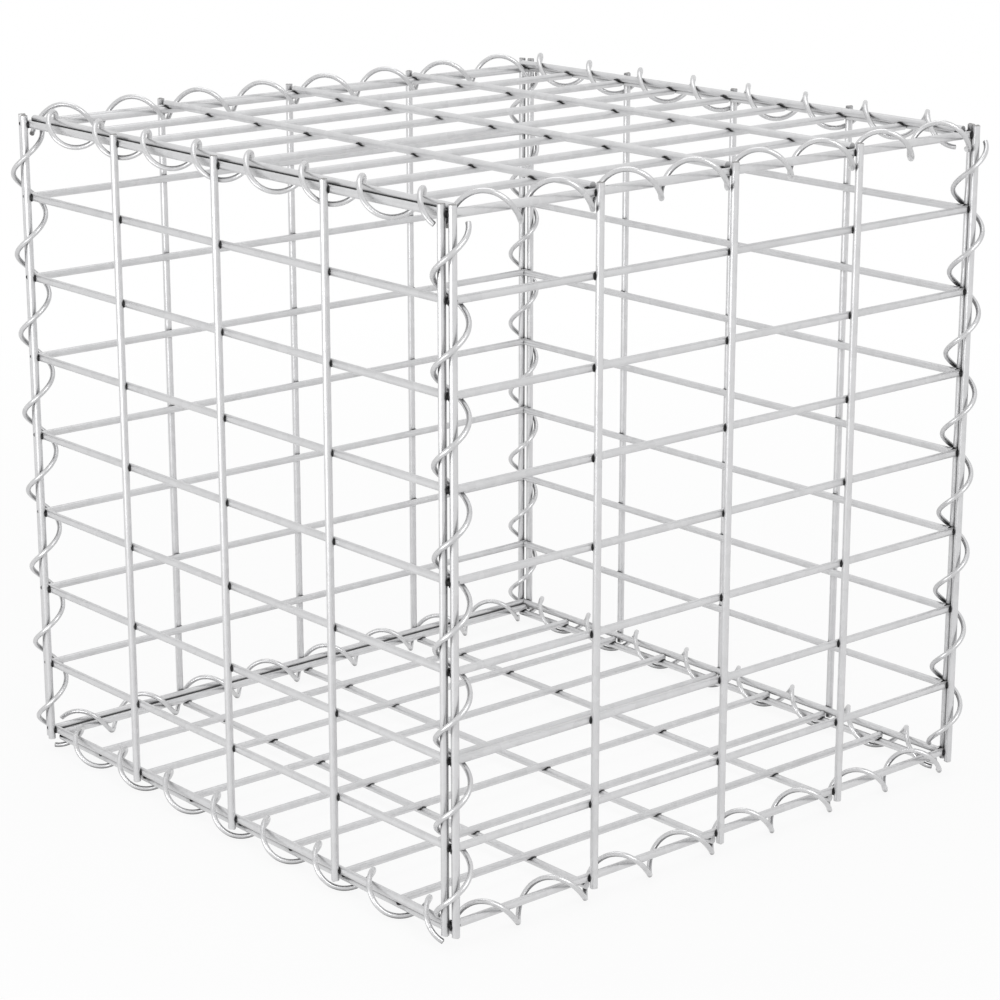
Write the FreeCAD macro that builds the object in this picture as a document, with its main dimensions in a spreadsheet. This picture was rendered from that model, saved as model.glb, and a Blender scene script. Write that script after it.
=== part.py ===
import FreeCAD, Part
import Sketcher
import math
import os

# Closed cube-shaped wire basket: six welded mesh panels laced along all
# twelve edges by spiral wires. Each panel has 5 line wires on its outer side
# and 9 cross wires welded to their inner side. Millimetres, +Z up, the origin
# on the ground under the middle of the basket.

os.makedirs("parts", exist_ok=True)
doc = FreeCAD.newDocument("WireBasket")

# driving sizes
driving = [
    ("crossPitch", 50.0),      # spacing of the cross wires, and rise of a spiral per turn
    ("cellRows", 8),           # rows of cells up each panel
    ("meshWire", 4.5),         # diameter of the panel wires
    ("weldSink", 1.0),         # depth that the crossing wires melt into each other
    ("rimInset", 5.5),         # first and last cross wire, in from the ends of the uprights
    ("endStub", 1.5),          # lid and base cross wires, left beyond the last weld
    ("fitGap", 0.25),          # air between a wire end and the panel beside it
    ("lidDrop", 0.5),          # lid cross wires below the rim wires of the sides
    ("baseDrop", 2.5),         # base cross wires below the lower rim wires
    ("lacingWire", 3.0),       # diameter of the spiral wires
    ("coilRadius", 9.2),       # radius of the spirals at the middle of the wire
    ("coilCut", 10.0),         # both ends of a spiral stop this far short of the edge's ends
    ("cornerLap", 0.5),        # corner spirals, outward along Y
    ("lidRise", 0.5),          # lid spirals, above the upper rim wires
    ("lidInset", 2.5),         # back and left lid spirals, inward from the side panels
    ("baseSag", 2.0),          # base spirals, below the lower rim wires
    ("baseInset", 1.0),        # base spirals, inward from the side panels
    ("cornerTurn", 45.0),      # turn angle beside a cell wire, from +X towards +Y
    ("lidFrontTurn", -72.0),   # the same for the spirals along X, from +Y towards +Z
    ("lidBackTurn", -90.0),
    ("baseFrontTurn", -72.0),
    ("baseBackTurn", -45.0),
    ("lidLeftTurn", 179.0),    # the same for the spirals along Y, from +Z towards +X
    ("lidRightTurn", 116.0),
    ("baseLeftTurn", 197.0),
    ("baseRightTurn", 149.0),
]
# sizes that follow from them
derived = [
    ("cageSize", "=cellRows * crossPitch"),
    ("linePitch", "=2 * crossPitch"),
    ("coilPitch", "=crossPitch"),
    ("layerStep", "=meshWire - weldSink"),
    ("sidePlane", "=cageSize / 2"),
    ("wideCross", "=2 * (sidePlane + layerStep - meshWire / 2 - fitGap)"),
    ("wideEdge", "=wideCross / 2"),
    ("innerSpan", "=2 * (sidePlane - meshWire / 2 - fitGap)"),
    ("narrowEdge", "=innerSpan / 2"),
    ("innerEdge", "=innerSpan / 2 - endStub"),
    ("flatEdge", "=sidePlane - meshWire - fitGap"),
    ("rimEdge", "=cageSize / 2 - rimInset"),
    ("lidAxis", "=cageSize - rimInset + lidRise"),
    ("baseAxis", "=rimInset - baseSag"),
    ("lift", "=coilRadius + lacingWire / 2 - baseAxis"),
    ("midHeight", "=lift + cageSize / 2"),
    ("lidHeight", "=lift + cageSize - rimInset - lidDrop"),
    ("baseHeight", "=lift + rimInset - baseDrop"),
    ("coilHeight", "=cageSize - 2 * coilCut"),
    ("leadAngle", "=atan(coilPitch / (2 * pi * coilRadius)) / 1deg"),
]
sheet = doc.addObject("Spreadsheet::Sheet", "Sizes")
for row, (alias, value) in enumerate(driving + derived, start=1):
    sheet.set("A%d" % row, alias)
    sheet.set("B%d" % row, str(value))
    sheet.setAlias("B%d" % row, alias)
doc.recompute()


def size(alias):
    return float(sheet.get(alias))


def origin_plane(body, role):
    for feature in body.Origin.OriginFeatures:
        if feature.Role == role:
            return feature


def wire_sketch(body, name, role, centres):
    """Circles of one wire diameter; each centre is a pair of signed cell names, or None on an axis."""
    sketch = body.newObject("Sketcher::SketchObject", name)
    sketch.AttachmentSupport = (origin_plane(body, role), "")
    sketch.MapMode = "FlatFace"
    radius = size("meshWire") / 2
    first = None
    for centre in centres:
        point = [0.0 if part is None else part[0] * part[2] for part in centre]
        circle = sketch.addGeometry(
            Part.Circle(FreeCAD.Vector(point[0], point[1], 0), FreeCAD.Vector(0, 0, 1), radius), False)
        if first is None:
            first = circle
            number = sketch.addConstraint(Sketcher.Constraint("Radius", circle, radius))
            sketch.setExpression("Constraints[%d]" % number, "Sizes.meshWire / 2")
        else:
            sketch.addConstraint(Sketcher.Constraint("Equal", first, circle))
        for part, kind, axis in zip(centre, ("DistanceX", "DistanceY"), (-2, -1)):
            if part is None:
                sketch.addConstraint(Sketcher.Constraint("PointOnObject", circle, 3, axis))
            elif part[0] > 0:
                number = sketch.addConstraint(Sketcher.Constraint(kind, -1, 1, circle, 3, part[2]))
                sketch.setExpression("Constraints[%d]" % number, part[1])
            else:
                number = sketch.addConstraint(Sketcher.Constraint(kind, circle, 3, -1, 1, part[2]))
                sketch.setExpression("Constraints[%d]" % number, part[1])
    return sketch


def spot(sign, expression, value):
    return (sign, expression, value)


def row_of(count, pitch, edge):
    """Middle wires on the pitch, the two outermost ones on the edge distance."""
    places = [None]
    for step in range(1, count // 2):
        for sign in (-1, 1):
            places.append(spot(sign, "%d * Sizes.%s" % (step, pitch), step * size(pitch)))
    for sign in (-1, 1):
        places.append(spot(sign, "Sizes.%s" % edge, size(edge)))
    return places


def new_body(label, placement, heights):
    body = doc.addObject("PartDesign::Body", label)
    body.Label = label
    body.AllowCompound = True
    body.Placement = placement
    for axis, expression in heights:
        body.setExpression("Placement.Base.%s" % axis, expression)
    return body


def mesh_panel(name, placement, anchors, line_edge, line_length, cross_edge, cross_length):
    """One welded panel, modelled upright about its middle with its outer side towards -Y."""
    outer = spot(-1, "Sizes.layerStep", size("layerStep"))
    line_centres = [(place, outer) for place in row_of(5, "linePitch", line_edge)]
    cross_centres = [(None, place) for place in row_of(9, "crossPitch", cross_edge)]

    lines = new_body(name + "_line_wires", placement, anchors)
    sketch = wire_sketch(lines, name + "_line_section", "XY_Plane", line_centres)
    pad = lines.newObject("PartDesign::Pad", name + "_line_run")
    pad.Profile = sketch
    pad.Midplane = True
    pad.setExpression("Length", "Sizes.%s" % line_length)
    lines.Tip = pad

    crosses = new_body(name + "_cross_wires", placement, anchors)
    sketch = wire_sketch(crosses, name + "_cross_section", "YZ_Plane", cross_centres)
    pad = crosses.newObject("PartDesign::Pad", name + "_cross_run")
    pad.Profile = sketch
    pad.Midplane = True
    pad.setExpression("Length", "Sizes.%s" % cross_length)
    doc.recompute()
    # the weld seats, hollowed to the round of the line wires
    sketch = wire_sketch(crosses, name + "_seat_section", "XY_Plane", line_centres)
    seat = crosses.newObject("PartDesign::Pocket", name + "_seats")
    seat.Profile = sketch
    seat.Type = "ThroughAll"
    seat.Midplane = True
    crosses.Tip = seat
    return [lines, crosses]


def turned(x, y, z, axis, angle):
    return FreeCAD.Placement(FreeCAD.Vector(x, y, z), FreeCAD.Rotation(FreeCAD.Vector(*axis), angle))


pieces = []
plane = size("sidePlane")
middle = size("midHeight")
up = ("z", "Sizes.midHeight")
wide = ("wideEdge", "cageSize", "rimEdge", "wideCross")
narrow = ("narrowEdge", "cageSize", "rimEdge", "innerSpan")
flat = ("innerEdge", "innerSpan", "flatEdge", "innerSpan")
pieces += mesh_panel("front", turned(0, -plane, middle, (0, 0, 1), 0), [("y", "-Sizes.sidePlane"), up], *wide)
pieces += mesh_panel("back", turned(0, plane, middle, (0, 0, 1), 180), [("y", "Sizes.sidePlane"), up], *wide)
pieces += mesh_panel("left", turned(-plane, 0, middle, (0, 0, 1), -90), [("x", "-Sizes.sidePlane"), up], *narrow)
pieces += mesh_panel("right", turned(plane, 0, middle, (0, 0, 1), 90), [("x", "Sizes.sidePlane"), up], *narrow)
pieces += mesh_panel("lid", turned(0, 0, size("lidHeight"), (1, 0, 0), -90), [("z", "Sizes.lidHeight")], *flat)
pieces += mesh_panel("base", turned(0, 0, size("baseHeight"), (1, 0, 0), 90), [("z", "Sizes.baseHeight")], *flat)

# the lacing wire: one round section swept along one helix, used on every edge
helix = doc.addObject("Part::Helix", "LacingPath")
helix.SegmentLength = 1
helix.Pitch = size("coilPitch")
helix.Height = size("coilHeight")
helix.Radius = size("coilRadius")
helix.setExpression("Pitch", "Sizes.coilPitch")
helix.setExpression("Height", "Sizes.coilHeight")
helix.setExpression("Radius", "Sizes.coilRadius")
section = doc.addObject("Part::Circle", "LacingSection")
section.Placement = turned(size("coilRadius"), 0, 0, (1, 0, 0), size("leadAngle") - 90)
section.setExpression("Radius", "Sizes.lacingWire / 2")
section.setExpression("Placement.Base.x", "Sizes.coilRadius")


def spiral(label, corner, first, second, angle):
    """A right-handed spiral along an edge, which runs along the cross product of first
    and second; angle is its turn from first towards second beside each cell wire."""
    first = FreeCAD.Vector(*first)
    second = FreeCAD.Vector(*second)
    along = first.cross(second)
    frame = FreeCAD.Matrix(first.x, second.x, along.x, 0, first.y, second.y, along.y, 0,
                           first.z, second.z, along.z, 0, 0, 0, 0, 1)
    cut = size("coilCut")
    turn = FreeCAD.Rotation(FreeCAD.Vector(0, 0, 1), size(angle) + 360 * cut / size("coilPitch"))
    begin = FreeCAD.Vector(*corner) + along * (cut - plane)
    coil = doc.addObject("Part::Sweep", label)
    coil.Label = label
    coil.Sections = [section]
    coil.Spine = (helix, [])
    coil.Solid = True
    coil.Frenet = True
    coil.Placement = FreeCAD.Placement(begin, FreeCAD.Placement(frame).Rotation * turn)
    return coil


right, back, above = (1, 0, 0), (0, 1, 0), (0, 0, 1)
# upright corners
post = plane + size("cornerLap")
for label, x, y in (("front_left", -plane, -post), ("back_left", -plane, post),
                    ("back_right", plane, post), ("front_right", plane, -post)):
    pieces.append(spiral(label + "_corner_spiral", (x, y, middle), right, back, "cornerTurn"))

# lid and base edges, the offset being that of the edge from the middle of the basket
roof = size("lift") + size("lidAxis")
floor = size("lift") + size("baseAxis")
lid_edge = plane - size("lidInset")
base_edge = plane - size("baseInset")
for label, offset, height, angle in (("lid_front", -plane, roof, "lidFrontTurn"),
                                     ("lid_back", lid_edge, roof, "lidBackTurn"),
                                     ("base_front", -base_edge, floor, "baseFrontTurn"),
                                     ("base_back", base_edge, floor, "baseBackTurn")):
    pieces.append(spiral(label + "_spiral", (0, offset, height), back, above, angle))
for label, offset, height, angle in (("lid_left", -lid_edge, roof, "lidLeftTurn"),
                                     ("lid_right", plane, roof, "lidRightTurn"),
                                     ("base_left", -base_edge, floor, "baseLeftTurn"),
                                     ("base_right", base_edge, floor, "baseRightTurn")):
    pieces.append(spiral(label + "_spiral", (offset, 0, height), above, right, angle))

doc.recompute()
bad = [o.Label for o in doc.Objects if "Invalid" in o.State or "Error" in o.State]
if bad:
    raise RuntimeError("not built: " + ", ".join(bad))
for piece in pieces:
    if piece.Shape.isNull() or not piece.Shape.isValid():
        raise RuntimeError("bad shape: " + piece.Label)
for piece in pieces:
    piece.Shape.exportStep(os.path.join("parts", piece.Label + ".step"))
    print("%-28s solids %2d  volume %9.1f" % (piece.Label, len(piece.Shape.Solids), piece.Shape.Volume))
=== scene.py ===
import bpy, bmesh
import math
from mathutils import Vector, Matrix


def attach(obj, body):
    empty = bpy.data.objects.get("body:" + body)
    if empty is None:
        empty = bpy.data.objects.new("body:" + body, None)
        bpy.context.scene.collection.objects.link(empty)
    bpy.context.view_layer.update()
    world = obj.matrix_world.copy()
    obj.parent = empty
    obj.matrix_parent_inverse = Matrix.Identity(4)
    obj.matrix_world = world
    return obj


# Gabion raised bed: six welded wire mesh panels, laced into a cube by twelve spiral wires.
# Lengths in the dictionaries are in millimetres, unless a note says otherwise.

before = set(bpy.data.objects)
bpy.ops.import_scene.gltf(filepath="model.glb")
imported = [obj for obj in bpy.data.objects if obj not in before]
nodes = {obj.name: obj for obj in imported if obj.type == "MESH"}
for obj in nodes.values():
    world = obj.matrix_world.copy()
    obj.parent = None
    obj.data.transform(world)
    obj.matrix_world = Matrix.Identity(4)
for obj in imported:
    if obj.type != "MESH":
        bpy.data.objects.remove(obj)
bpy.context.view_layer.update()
print("frame loaded:", len(nodes), "nodes")

mm = 0.001
white = (1.0, 1.0, 1.0, 1.0)


# an sRGB hex colour as linear values
def srgb(code):
    out = []
    for i in (0, 2, 4):
        v = int(code[i:i + 2], 16) / 255
        out.append(v / 12.92 if v <= 0.04045 else ((v + 0.055) / 1.055) ** 2.4)
    return (out[0], out[1], out[2], 1.0)


# a plain value as a ramp's colour
def grey(value):
    return (value, value, value, 1.0)


# adds one node with its settings, input values, incoming links and, on a ramp, its colour stops
def addNode(tree, kind, values=None, links=None, stops=None, **settings):
    node = tree.nodes.new(kind)
    for name, value in settings.items():
        setattr(node, name, value)
    for key, value in (values or {}).items():
        node.inputs[key].default_value = value
    for key, source in (links or {}).items():
        tree.links.new(source, node.inputs[key])
    if stops:
        marks = node.color_ramp.elements
        while len(marks) < len(stops):
            marks.new(0.5)
        for mark, (place, colour) in zip(marks, stops):
            mark.position = place
            mark.color = colour
    return node


def newMaterial(name):
    mat = bpy.data.materials.new(name)
    mat.use_nodes = True
    return mat, mat.node_tree, mat.node_tree.nodes["Principled BSDF"]


# the zinc of both kinds of wire
zincValues = {
    "patch": 34.0,          # duller patches
    "grain": 0.9,           # grain of the surface, drawn coarser than it is so that it shows
    "grainDepth": 0.2,
    "grainStrength": 0.18,
    "spangleShare": 0.3,    # how much of the tone comes from the spangle, the rest from the patches
    "toneRange": (0.22, 0.62),  # tones that run from dull to bright
    "roughRange": (0.2, 0.65),  # and from rough to smooth
    "paintedShadeReach": 7.0,      # painted shade: wires nearer than this darken each other's colour
    "paintedShadeRange": (0.3, 0.8),   # openness at which the painted shade is darkest, and at which it is gone
    "paintedShadeTone": "666667",  # colour of the painted shade at its darkest
    # how much of the painted shade goes into the colour
    "paintedShadeShare": 0.9,
    "metal": 0.85,          # weathered zinc is part metal, part pale oxide
}

# the panels' wires: pale, satin, evenly coated
meshFinish = {
    "name": "galvanised mesh wire",
    "bright": "D7D7D8",
    "dull": "CDCDCE",
    "spangle": 5.0,         # zinc crystals
    "roughBright": 0.32,
    "roughDull": 0.40,
}

# the spirals' wire: thinner, drawn smoother and shinier
lacingFinish = {
    "name": "galvanised lacing wire",
    "bright": "D2D2D3",
    "dull": "C6C6C7",
    "spangle": 4.0,
    "roughBright": 0.26,
    "roughDull": 0.34,
}


# Hot-dip zinc on drawn steel wire: the eye sees pale grey metal with soft long highlights,
# faint crystals a few millimetres across, and duller patches of a few centimetres
def zincMaterial(finish):
    v = zincValues
    toneLow, toneHigh = v["toneRange"]
    paintedShadeLow, paintedShadeHigh = v["paintedShadeRange"]
    roughLow, roughHigh = v["roughRange"]
    mat, tree, shader = newMaterial(finish["name"])
    place = addNode(tree, "ShaderNodeTexCoord").outputs["Object"]
    spangle = addNode(tree, "ShaderNodeTexVoronoi", {"Scale": 1000 / finish["spangle"]}, {"Vector": place})
    patch = addNode(tree, "ShaderNodeTexNoise",
                    {"Scale": 1000 / v["patch"], "Detail": 4.0, "Roughness": 0.6}, {"Vector": place})
    grain = addNode(tree, "ShaderNodeTexNoise",
                    {"Scale": 1000 / v["grain"], "Detail": 3.0, "Roughness": 0.55}, {"Vector": place})
    crystal = addNode(tree, "ShaderNodeSeparateColor", links={"Color": spangle.outputs["Color"]})
    part = addNode(tree, "ShaderNodeMath", {1: v["spangleShare"]}, {0: crystal.outputs["Red"]},
                   operation="MULTIPLY")
    tone = addNode(tree, "ShaderNodeMath", {1: 1 - v["spangleShare"]},
                   {0: patch.outputs["Fac"], 2: part.outputs[0]}, operation="MULTIPLY_ADD")
    colour = addNode(tree, "ShaderNodeValToRGB", links={"Fac": tone.outputs[0]},
                     stops=[(toneLow, srgb(finish["dull"])), (toneHigh, srgb(finish["bright"]))])
    # painted shade: the wire's colour is darkened where two wires lie near each other, standing in for the
    # shade between them
    close = addNode(tree, "ShaderNodeAmbientOcclusion", {"Distance": v["paintedShadeReach"] * mm}, samples=8)
    shade = addNode(tree, "ShaderNodeValToRGB", links={"Fac": close.outputs["AO"]},
                    stops=[(paintedShadeLow, srgb(v["paintedShadeTone"])), (paintedShadeHigh, white)])
    coat = addNode(tree, "ShaderNodeMix", {"Factor": v["paintedShadeShare"]},
                   {"A": colour.outputs["Color"], "B": shade.outputs["Color"]},
                   data_type="RGBA", blend_type="MULTIPLY")
    tree.links.new(coat.outputs["Result"], shader.inputs["Base Color"])
    rough = addNode(tree, "ShaderNodeValToRGB", links={"Fac": tone.outputs[0]},
                    stops=[(roughLow, grey(finish["roughDull"])), (roughHigh, grey(finish["roughBright"]))])
    tree.links.new(rough.outputs["Color"], shader.inputs["Roughness"])
    bump = addNode(tree, "ShaderNodeBump", {"Strength": v["grainStrength"], "Distance": v["grainDepth"] * mm},
                   {"Height": grain.outputs["Fac"]})
    tree.links.new(bump.outputs["Normal"], shader.inputs["Normal"])
    shader.inputs["Metallic"].default_value = v["metal"]
    return mat


meshZinc = zincMaterial(meshFinish)
lacingZinc = zincMaterial(lacingFinish)
for name, node in nodes.items():
    node.data.materials.clear()
    node.data.materials.append(lacingZinc if name.endswith("_spiral") else meshZinc)
print("wire finishes set")


# a piece made here rides with the whole basket, which has no moving parts
def newPiece(name, mesh):
    piece = bpy.data.objects.new(name, mesh)
    bpy.context.scene.collection.objects.link(piece)
    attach(piece, "root")
    return piece


# closes the strip between two rows of vertices that go round
def joinRows(grid, a, b):
    for i in range(len(a)):
        k = (i + 1) % len(a)
        grid.faces.new((a[i], a[k], b[k], b[i]))


# a smooth mesh with its faces outwards; ends that are cut across may stay flat
def toMesh(name, grid, flatEnds=False):
    bmesh.ops.recalc_face_normals(grid, faces=grid.faces)
    for face in grid.faces:
        face.smooth = not (flatEnds and len(face.verts) > 4)
    mesh = bpy.data.meshes.new(name)
    grid.to_mesh(mesh)
    grid.free()
    return mesh


# a shape that is only there to be scattered, and is removed after that
def newShape(name, grid):
    shape = bpy.data.objects.new(name, toMesh(name, grid))
    bpy.context.scene.collection.objects.link(shape)
    return shape


# puts one shape on every point, each a little different in size, and gives all of it its material
def scatterTree(name):
    tree = bpy.data.node_groups.new(name, "GeometryNodeTree")
    for label, kind in (("Geometry", "Geometry"), ("Shape", "Object"), ("Material", "Material"),
                        ("Size Spread", "Float"), ("Seed", "Int")):
        tree.interface.new_socket(label, in_out="INPUT", socket_type="NodeSocket" + kind)
    tree.interface.new_socket("Geometry", in_out="OUTPUT", socket_type="NodeSocketGeometry")
    source = addNode(tree, "NodeGroupInput").outputs
    shape = addNode(tree, "GeometryNodeObjectInfo", links={"Object": source["Shape"]})
    points = addNode(tree, "GeometryNodeMeshToPoints", links={"Mesh": source["Geometry"]})
    turn = addNode(tree, "GeometryNodeInputNamedAttribute", {"Name": "turn"}, data_type="FLOAT_VECTOR")
    low = addNode(tree, "ShaderNodeMath", {0: 1.0}, {1: source["Size Spread"]}, operation="SUBTRACT")
    high = addNode(tree, "ShaderNodeMath", {0: 1.0}, {1: source["Size Spread"]}, operation="ADD")
    size = addNode(tree, "FunctionNodeRandomValue", links={
        "Min": low.outputs[0], "Max": high.outputs[0], "Seed": source["Seed"]}, data_type="FLOAT")
    spots = addNode(tree, "GeometryNodeInstanceOnPoints", links={
        "Points": points.outputs["Points"], "Instance": shape.outputs["Geometry"],
        "Rotation": turn.outputs["Attribute"], "Scale": size.outputs["Value"]})
    solid = addNode(tree, "GeometryNodeRealizeInstances", links={"Geometry": spots.outputs["Instances"]})
    coat = addNode(tree, "GeometryNodeSetMaterial", links={
        "Geometry": solid.outputs["Geometry"], "Material": source["Material"]})
    addNode(tree, "NodeGroupOutput", links={"Geometry": coat.outputs["Geometry"]})
    return tree


scatter = scatterTree("scatterShape")


# scatters the shape over spots, which are pairs of place and turn, and keeps a plain mesh of it
def scattered(name, spots, values):
    base = bpy.data.meshes.new(name + "Spots")
    base.from_pydata([place for place, turn in spots], [], [])
    turns = base.attributes.new("turn", "FLOAT_VECTOR", "POINT")
    for i, (place, turn) in enumerate(spots):
        turns.data[i].vector = turn
    holder = bpy.data.objects.new(name + "Holder", base)
    bpy.context.scene.collection.objects.link(holder)
    modifier = holder.modifiers.new("scatter", "NODES")
    modifier.node_group = scatter
    for item in scatter.interface.items_tree:
        if item.in_out == "INPUT" and item.name in values:
            modifier[item.identifier] = values[item.name]
    bpy.context.view_layer.update()
    done = holder.evaluated_get(bpy.context.evaluated_depsgraph_get())
    mesh = bpy.data.meshes.new_from_object(done)
    mesh.name = name
    bpy.data.objects.remove(holder)
    return newPiece(name, mesh)


# where the panels' wires lie, as in the solids
panelValues = {
    "wire": 4.5,            # wire diameter
    "layerStep": 3.5,       # line wire axis to cross wire axis
    "rowStep": 50.0,        # cross wires
    "columnStep": 100.0,    # line wires
    "plane": 200.0,         # cross wires of the side panels, from the middle
    "middle": 207.2,        # height of the middle of the side panels
    "half": 200.0,          # half the length of an upright
    "lidHeight": 401.2,     # cross wires of the lid
    "baseHeight": 10.2,     # cross wires of the base
    "wideEdge": 201.0,      # outermost line wires, front and back
    "narrowEdge": 197.5,    # outermost line wires, left and right
    "innerEdge": 196.0,     # outermost line wires, lid and base
    "rimEdge": 194.5,       # outermost cross wires, side panels
    "flatEdge": 195.25,     # outermost cross wires, lid and base
}


# every panel's name, its frame, and its line and cross wires' places in that frame
def panelPlaces():
    v = panelValues
    columns = [k * v["columnStep"] for k in (-1, 0, 1)]
    rows = [k * v["rowStep"] for k in range(-3, 4)]
    sides = (("front", 0, v["wideEdge"]), ("back", 180, v["wideEdge"]),
             ("left", -90, v["narrowEdge"]), ("right", 90, v["narrowEdge"]))
    out = []
    for name, angle, edge in sides:
        place = (Matrix.Translation((0, 0, v["middle"])) @ Matrix.Rotation(math.radians(angle), 4, "Z")
                 @ Matrix.Translation((0, -v["plane"], 0)))
        out.append((name, place, [-edge] + columns + [edge], [-v["rimEdge"]] + rows + [v["rimEdge"]]))
    for name, angle, height in (("lid", -90, v["lidHeight"]), ("base", 90, v["baseHeight"])):
        place = Matrix.Translation((0, 0, height)) @ Matrix.Rotation(math.radians(angle), 4, "X")
        out.append((name, place, [-v["innerEdge"]] + columns + [v["innerEdge"]],
                    [-v["flatEdge"]] + rows + [v["flatEdge"]]))
    return out


# change these for heavier or cleaner welds
weldValues = {
    "alongCross": 2.85,     # reach of the bead along the cross wire
    "alongLine": 2.0,       # and along the line wire
    "saddle": 0.62,         # how far the bead bends to follow both wires
    "bead": 0.52,           # half the bead's thickness
    "swell": 0.25,          # how much of that is only there beside the line wire, as a share
    "wideLumps": (3, 0.14), # how many go round the ring, and their height as a share
    "smallLumps": (5, 0.10),
    "edgeInset": 0.5,       # beads on the outermost uprights lie further in
    "ringSteps": 24,
    "tubeSteps": 8,
    "sizeSpread": 0.08,     # how much the beads differ, as a share
    "seed": 7,
    # near-black colours: partly burnt zinc, partly painted shade where the wires cross
    "tones": ((0.3, "1C1C1C"), (0.55, "303031"), (0.8, "5A5A5B")),
    "soot": 3.0,            # spots of lighter and darker soot
    "crust": 0.8,           # lumps of the crust, drawn coarser than they are so that they show
    "crustDepth": 0.3,
    "crustStrength": 0.4,
    "metal": 0.2,
    "rough": 0.7,
    "gloss": 0.25,
}


# Burnt zinc and scale squeezed out of the weld, matt and crusty; its near-black colour is partly that zinc and
# partly painted shade, standing in for the shade in the notch where the wires cross
def weldAndShadeMaterial():
    v = weldValues
    mat, tree, shader = newMaterial("weld flash and painted crossing shade")
    place = addNode(tree, "ShaderNodeTexCoord").outputs["Object"]
    soot = addNode(tree, "ShaderNodeTexNoise",
                   {"Scale": 1000 / v["soot"], "Detail": 5.0, "Roughness": 0.6}, {"Vector": place})
    colour = addNode(tree, "ShaderNodeValToRGB", links={"Fac": soot.outputs["Fac"]},
                     stops=[(place, srgb(code)) for place, code in v["tones"]])
    tree.links.new(colour.outputs["Color"], shader.inputs["Base Color"])
    crust = addNode(tree, "ShaderNodeTexNoise", {"Scale": 1000 / v["crust"], "Detail": 2.0}, {"Vector": place})
    bump = addNode(tree, "ShaderNodeBump", {"Strength": v["crustStrength"], "Distance": v["crustDepth"] * mm},
                   {"Height": crust.outputs["Fac"]})
    tree.links.new(bump.outputs["Normal"], shader.inputs["Normal"])
    shader.inputs["Metallic"].default_value = v["metal"]
    shader.inputs["Roughness"].default_value = v["rough"]
    shader.inputs["Specular IOR Level"].default_value = v["gloss"]
    return mat


# the bead round one crossing: a lumpy ring, bent to follow both wires
def weldRing():
    v = weldValues
    grid = bmesh.new()
    wideCount, wide = v["wideLumps"]
    smallCount, small = v["smallLumps"]
    wideStart = 0.6  # where the wide lumps start, in radians
    rows = []
    for i in range(v["ringSteps"]):
        t = 2 * math.pi * i / v["ringSteps"]
        out = Vector((math.cos(t), 0, math.sin(t)))
        middle = Vector((v["alongCross"] * out.x, -v["saddle"] * math.cos(2 * t), v["alongLine"] * out.z))
        thick = v["bead"] * (1 - v["swell"] + v["swell"] * out.x ** 2
                             + wide * math.sin(wideCount * t + wideStart) + small * math.sin(smallCount * t))
        row = []
        for j in range(v["tubeSteps"]):
            s = 2 * math.pi * j / v["tubeSteps"]
            spot = middle + thick * (math.cos(s) * out + math.sin(s) * Vector((0, 1, 0)))
            row.append(grid.verts.new(spot * mm))
        rows.append(row)
    for a, b in zip(rows, rows[1:] + rows[:1]):
        joinRows(grid, a, b)
    return newShape("weldRing", grid)


# one bead on every crossing of a panel
def weldSpots(place, lines, crosses):
    edge = max(lines)
    inset = weldValues["edgeInset"] / edge
    spots = []
    for u in lines:
        across = u * (1 - inset) if abs(u) == edge else u
        for w in crosses:
            spot = place @ Vector((across, -panelValues["layerStep"] / 2, w))
            spots.append((spot * mm, tuple(place.to_euler())))
    return spots


# weld beads at every crossing, coloured near-black: partly burnt zinc, partly painted shade where the wires
# cross
weldFlashAndShade = weldAndShadeMaterial()
ring = weldRing()
for number, (name, place, lines, crosses) in enumerate(panelPlaces()):
    scattered(name + "_weld_flash", weldSpots(place, lines, crosses), {
        "Shape": ring, "Material": weldFlashAndShade,
        "Size Spread": weldValues["sizeSpread"], "Seed": weldValues["seed"] + number})
bpy.data.objects.remove(ring)
print("weld flash made")


# change these for rougher or smoother cuts; lengths are shares of the wire's radius
cutValues = {
    "rows": (1.0, 0.9, 0.66, 0.4, 0.16),    # rings of the face, from the rim in
    "sides": 28,
    "rim": 0.97,            # reach of the cut face
    "sink": 0.03,           # how far the cap's closed back lies in the wire
    "ridge": 0.16,          # height of the pinched ridge
    "tears": (9, 0.2),      # how close the tear marks lie, and how rough they make the ridge
    "lift": 0.015,          # lowest part of the face, above the wire's end
    "sizeSpread": 0.02,
    "seed": 31,
    "dark": "7D7C7B",
    "bright": "A9A8A7",
    "scratch": 0.5,         # fine marks, in millimetres
    "scratchDepth": 0.2,
    "scratchStrength": 0.3,
    "rough": 0.42,
    "uprightSpin": 0.9,     # turn from one end to the next, in radians
    "spiralSpin": 1.3,
}


# Bare steel where the cutters went through: greyer than the zinc, dulled, with tear marks
def cutMaterial():
    v = cutValues
    mat, tree, shader = newMaterial("bare cut steel")
    place = addNode(tree, "ShaderNodeTexCoord").outputs["Object"]
    scratch = addNode(tree, "ShaderNodeTexNoise",
                      {"Scale": 1000 / v["scratch"], "Detail": 4.0, "Roughness": 0.7}, {"Vector": place})
    colour = addNode(tree, "ShaderNodeValToRGB", links={"Fac": scratch.outputs["Fac"]},
                     stops=[(0.3, srgb(v["dark"])), (0.7, srgb(v["bright"]))])
    tree.links.new(colour.outputs["Color"], shader.inputs["Base Color"])
    bump = addNode(tree, "ShaderNodeBump",
                   {"Strength": v["scratchStrength"], "Distance": v["scratchDepth"] * mm},
                   {"Height": scratch.outputs["Fac"]})
    tree.links.new(bump.outputs["Normal"], shader.inputs["Normal"])
    shader.inputs["Metallic"].default_value = 1.0
    shader.inputs["Roughness"].default_value = v["rough"]
    return mat


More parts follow.
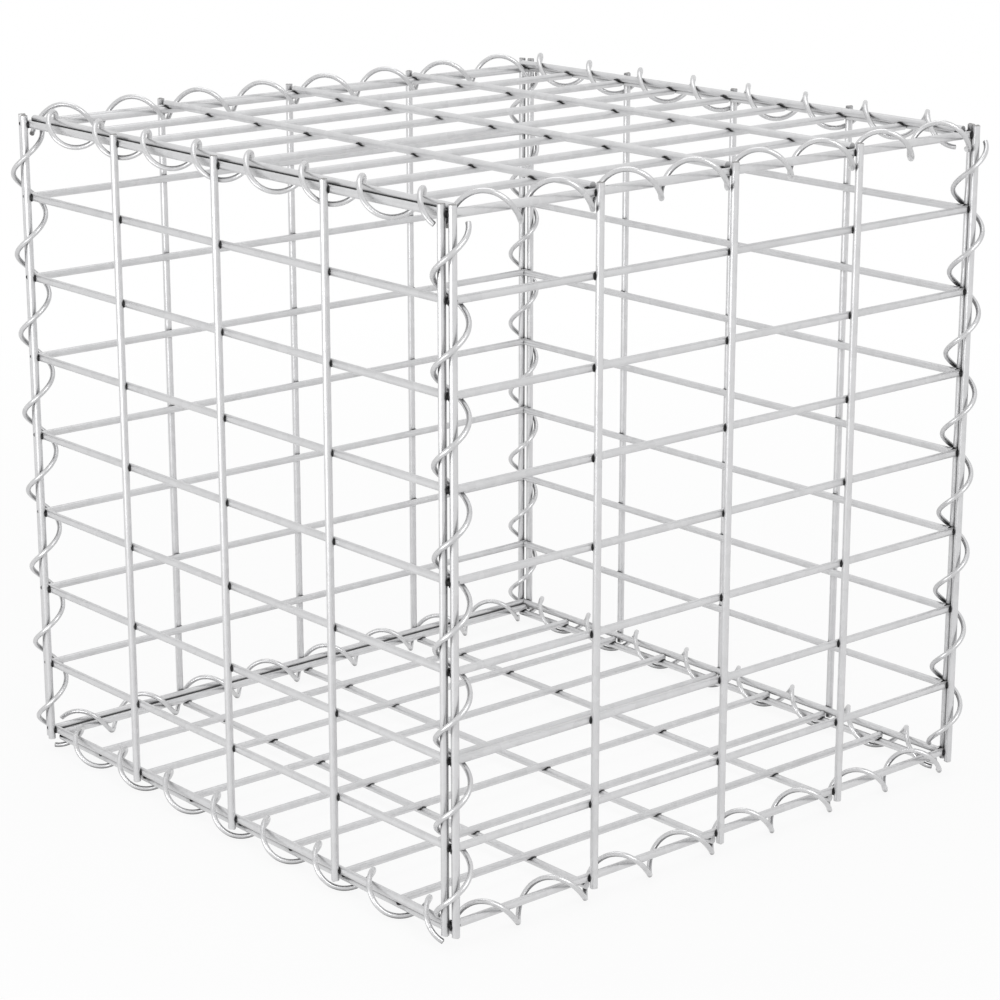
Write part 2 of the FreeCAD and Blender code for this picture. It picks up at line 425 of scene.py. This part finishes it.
# the end of a wire that cutters have pinched off: a low roof with a rough ridge, closed behind
def cutFace(radius):
    v = cutValues
    grid = bmesh.new()
    tearCount, tear = v["tears"]
    rows = []
    for share in v["rows"]:
        row = []
        for i in range(v["sides"]):
            t = 2 * math.pi * i / v["sides"]
            x, y = share * math.cos(t), share * math.sin(t)
            rise = v["lift"] + v["ridge"] * (1 - abs(x)) * (1 + tear * math.sin(tearCount * y))
            if share == 1.0:
                rise = -v["sink"]
            row.append(grid.verts.new(Vector((x * v["rim"], y * v["rim"], rise)) * radius * mm))
        rows.append(row)
    for a, b in zip(rows, rows[1:]):
        joinRows(grid, a, b)
    grid.faces.new(rows[-1])
    grid.faces.new(rows[0][::-1])
    return newShape("cutFace", grid)


# the turn that points a shape's Z along a direction, with a spin about it
def facing(direction, spin):
    aim = direction.to_track_quat("Z", "Y").to_matrix()
    return tuple((aim @ Matrix.Rotation(spin, 3, "Z")).to_euler())


# both ends of every upright of the side panels
def uprightEnds():
    v = panelValues
    spots = []
    for name, place, lines, crosses in panelPlaces()[:4]:
        for u in lines:
            for end in (-1, 1):
                spot = place @ Vector((u, -v["layerStep"], end * v["half"]))
                spots.append((spot * mm, facing(Vector((0, 0, end)), cutValues["uprightSpin"] * len(spots))))
    return spots


# where the spirals lie, as in the solids: each is one helix about its edge
spiralValues = {
    "wire": 3.0,
    "radius": 9.2,          # of the wire's axis
    "pitch": 50.0,
    "half": 200.0,          # half the length of an edge
    "cut": 10.0,            # both ends stop this far short of the edge's ends
    "corner": (200.0, 200.5, 207.2),
    "lidHeight": 402.2,
    "baseHeight": 10.7,
    "base": 199.0,          # base spirals, from the middle
    "lidFront": 200.0,      # front and right lid spirals, from the middle
    "lidBack": 197.5,       # back and left lid spirals, from the middle
    "tailSteps": 12,        # rings along a tail
    "tailSides": 24,        # and corners round it
}


# each spiral's angle at the start of its edge, in degrees, and how far its two tails run on
# past the solid's ends
spiralRuns = {
    "front_left_corner": (45, 0, 0),
    "back_left_corner": (45, 5.5, 0),
    "front_right_corner": (45, 0, 0),
    "back_right_corner": (45, 5.5, 0),
    "lid_front": (-72, 7.5, 9),
    "lid_back": (-90, 5, 9),
    "base_front": (-72, 0, 7),
    "base_back": (-45, 0, 6),
    "lid_left": (179, 3, 0),
    "lid_right": (116, 0, 6),
    "base_left": (197, 7, 9),
    "base_right": (149, 4, 9),
}


# middle of a spiral's edge, and the two directions across it
def spiralEdge(name):
    v = spiralValues
    right, back, above = Vector((1, 0, 0)), Vector((0, 1, 0)), Vector((0, 0, 1))
    if name.endswith("corner"):
        x, y, z = v["corner"]
        return Vector((x if "right" in name else -x, y if "back" in name else -y, z)), right, back
    panel, side = name.split("_")
    height = v[panel + "Height"]
    if panel == "base":
        across = v["base"]
    else:
        across = v["lidFront"] if side in ("front", "right") else v["lidBack"]
    if side in ("front", "back"):
        return Vector((0, across if side == "back" else -across, height)), back, above
    return Vector((across if side == "right" else -across, 0, height)), above, right


# a point on the wire's axis, the direction that the wire runs in there, and the way outwards
def helixPoint(name, reach):
    v = spiralValues
    middle, first, second = spiralEdge(name)
    along = first.cross(second)
    t = math.radians(spiralRuns[name][0]) + 2 * math.pi * (v["half"] + reach) / v["pitch"]
    out = math.cos(t) * first + math.sin(t) * second
    ahead = math.cos(t) * second - math.sin(t) * first
    run = along * v["pitch"] / (2 * math.pi) + v["radius"] * ahead
    return middle + along * reach + v["radius"] * out, run.normalized(), out


# both ends of every spiral, tails included
def spiralEnds():
    v = spiralValues
    spots = []
    for name, (angle, *tails) in spiralRuns.items():
        for end, tail in zip((-1, 1), tails):
            spot, run, out = helixPoint(name, end * (v["half"] - v["cut"] + tail))
            spots.append((spot * mm, facing(run * end, cutValues["spiralSpin"] * len(spots))))
    return spots


# the spirals' tails at the corners: the same wire, run on along the same helix
def spiralTails():
    v = spiralValues
    turns = [2 * math.pi * j / v["tailSides"] for j in range(v["tailSides"])]
    grid = bmesh.new()
    for name, (angle, *tails) in spiralRuns.items():
        for end, tail in zip((-1, 1), tails):
            if tail == 0:
                continue
            rows = []
            for i in range(v["tailSteps"] + 1):
                reach = end * (v["half"] - v["cut"] + tail * i / v["tailSteps"])
                spot, run, out = helixPoint(name, reach)
                side = run.cross(out)
                ring = [spot + v["wire"] / 2 * (math.cos(s) * out + math.sin(s) * side) for s in turns]
                rows.append([grid.verts.new(point * mm) for point in ring])
            for a, b in zip(rows, rows[1:]):
                joinRows(grid, a, b)
            grid.faces.new(rows[0])
            grid.faces.new(rows[-1])
    mesh = toMesh("spiral_tails", grid, flatEnds=True)
    mesh.materials.append(lacingZinc)
    newPiece("spiral_tails", mesh)


spiralTails()
print("spiral tails made")

cutSteel = cutMaterial()
for name, spots, wire, slotName in (
        ("upright_cut_ends", uprightEnds(), panelValues["wire"], "mesh_wire"),
        ("spiral_cut_ends", spiralEnds(), spiralValues["wire"], "lacing_wire")):
    cap = cutFace(wire / 2)
    scattered(name, spots, {
        "Shape": cap, "Material": cutSteel,
        "Size Spread": cutValues["sizeSpread"], "Seed": cutValues["seed"]})
    bpy.data.objects.remove(cap)
print("cut ends made")


# a pale floor that shows the shadow near the object and is plain white further out
floorValues = {
    "reach": 6.0,           # metres from the middle
    "drop": 0.5,            # below the object's lowest point
    "colour": "F4F4F4",
    "near": 0.35,           # metres; up to here the floor takes a tenth of its look from the shadow
    "far": 1.3,             # metres; from here it takes none
    "nearWhite": 0.9,
    "rough": 0.9,
}


def paleFloor():
    v = floorValues
    side, level = v["reach"], -v["drop"] * mm
    mesh = bpy.data.meshes.new("floor")
    mesh.from_pydata([(-side, -side, level), (side, -side, level), (side, side, level), (-side, side, level)],
                     [], [(0, 1, 2, 3)])
    floor = bpy.data.objects.new("floor", mesh)
    bpy.context.scene.collection.objects.link(floor)
    mat, tree, shader = newMaterial("white floor")
    shader.inputs["Base Color"].default_value = srgb(v["colour"])
    shader.inputs["Roughness"].default_value = v["rough"]
    glow = addNode(tree, "ShaderNodeEmission", {"Color": white, "Strength": 1.0})
    path = addNode(tree, "ShaderNodeLightPath").outputs
    seen = addNode(tree, "ShaderNodeMath", links={0: path["Is Camera Ray"], 1: path["Is Glossy Ray"]},
                   operation="MAXIMUM")
    place = addNode(tree, "ShaderNodeTexCoord").outputs["Object"]
    away = addNode(tree, "ShaderNodeVectorMath", links={0: place}, operation="LENGTH")
    plain = addNode(tree, "ShaderNodeMapRange",
                    {"From Min": v["near"], "From Max": v["far"], "To Min": v["nearWhite"], "To Max": 1.0},
                    {"Value": away.outputs["Value"]})
    share = addNode(tree, "ShaderNodeMath", links={0: seen.outputs[0], 1: plain.outputs[0]},
                    operation="MULTIPLY")
    mixed = addNode(tree, "ShaderNodeMixShader",
                    links={0: share.outputs[0], 1: shader.outputs[0], 2: glow.outputs[0]})
    tree.links.new(mixed.outputs[0], tree.nodes["Material Output"].inputs["Surface"])
    mesh.materials.append(mat)


# white all round for the eye and in reflections, and a soft fill on the object
worldValues = {
    "fill": 0.55,
    "background": 1.0,      # plain white
}


def whiteWorld():
    world = bpy.data.worlds.new("studio")
    bpy.context.scene.world = world
    world.use_nodes = True
    tree = world.node_tree
    tree.nodes.clear()
    path = addNode(tree, "ShaderNodeLightPath").outputs
    direct = addNode(tree, "ShaderNodeMath", links={0: path["Is Camera Ray"], 1: path["Is Glossy Ray"]},
                     operation="MAXIMUM")
    seen = addNode(tree, "ShaderNodeMath", links={0: direct.outputs[0], 1: path["Is Transmission Ray"]},
                   operation="MAXIMUM")
    fill = addNode(tree, "ShaderNodeBackground", {"Color": white, "Strength": worldValues["fill"]})
    back = addNode(tree, "ShaderNodeBackground", {"Color": white, "Strength": worldValues["background"]})
    mixed = addNode(tree, "ShaderNodeMixShader",
                    links={0: seen.outputs[0], 1: fill.outputs[0], 2: back.outputs[0]})
    addNode(tree, "ShaderNodeOutputWorld", links={"Surface": mixed.outputs[0]})


# place, aim, width and height in metres, and power in watts
lightValues = {
    "leftStrip": ((-1.05, -0.1, 0.24), (0, -0.1, 0.24), 0.66, 0.46, 2.5),   # white line down every upright
    "frontLight": ((-0.6, -3.0, 2.0), (0, 0, 0.2), 1.6, 1.6, 30),
    "topLight": ((0.2, 0.4, 3.0), (0, 0, 0.2), 2.0, 2.0, 14),
}


def softLight(name, place, aim, width, height, power):
    data = bpy.data.lights.new(name, "AREA")
    data.shape = "RECTANGLE"
    data.size = width
    data.size_y = height
    data.energy = power
    lamp = bpy.data.objects.new(name, data)
    bpy.context.scene.collection.objects.link(lamp)
    lamp.location = place
    lamp.rotation_euler = (Vector(aim) - Vector(place)).to_track_quat("-Z", "Y").to_euler()


paleFloor()
whiteWorld()
for name, values in lightValues.items():
    softLight(name, *values)
print("floor, white surroundings and lights set")


# the photograph's viewing angle; place in metres, angles in degrees
cameraValues = {
    "place": (-1.1151, -1.3024, 0.6642),
    "yaw": 40.708,
    "pitch": -16.05,
    "lens": 103.6,
    "sensor": 36.0,
    "clip": (0.05, 50),     # metres
}


def setCamera():
    v = cameraValues
    data = bpy.data.cameras.new("camera")
    data.sensor_width = v["sensor"]
    data.lens = v["lens"]
    data.clip_start, data.clip_end = v["clip"]
    camera = bpy.data.objects.new("camera", data)
    bpy.context.scene.collection.objects.link(camera)
    camera.location = v["place"]
    camera.rotation_euler = (math.radians(90 + v["pitch"]), 0, -math.radians(v["yaw"]))
    bpy.context.scene.camera = camera


setCamera()
bpy.context.scene.view_settings.view_transform = "Standard"
print("camera set")
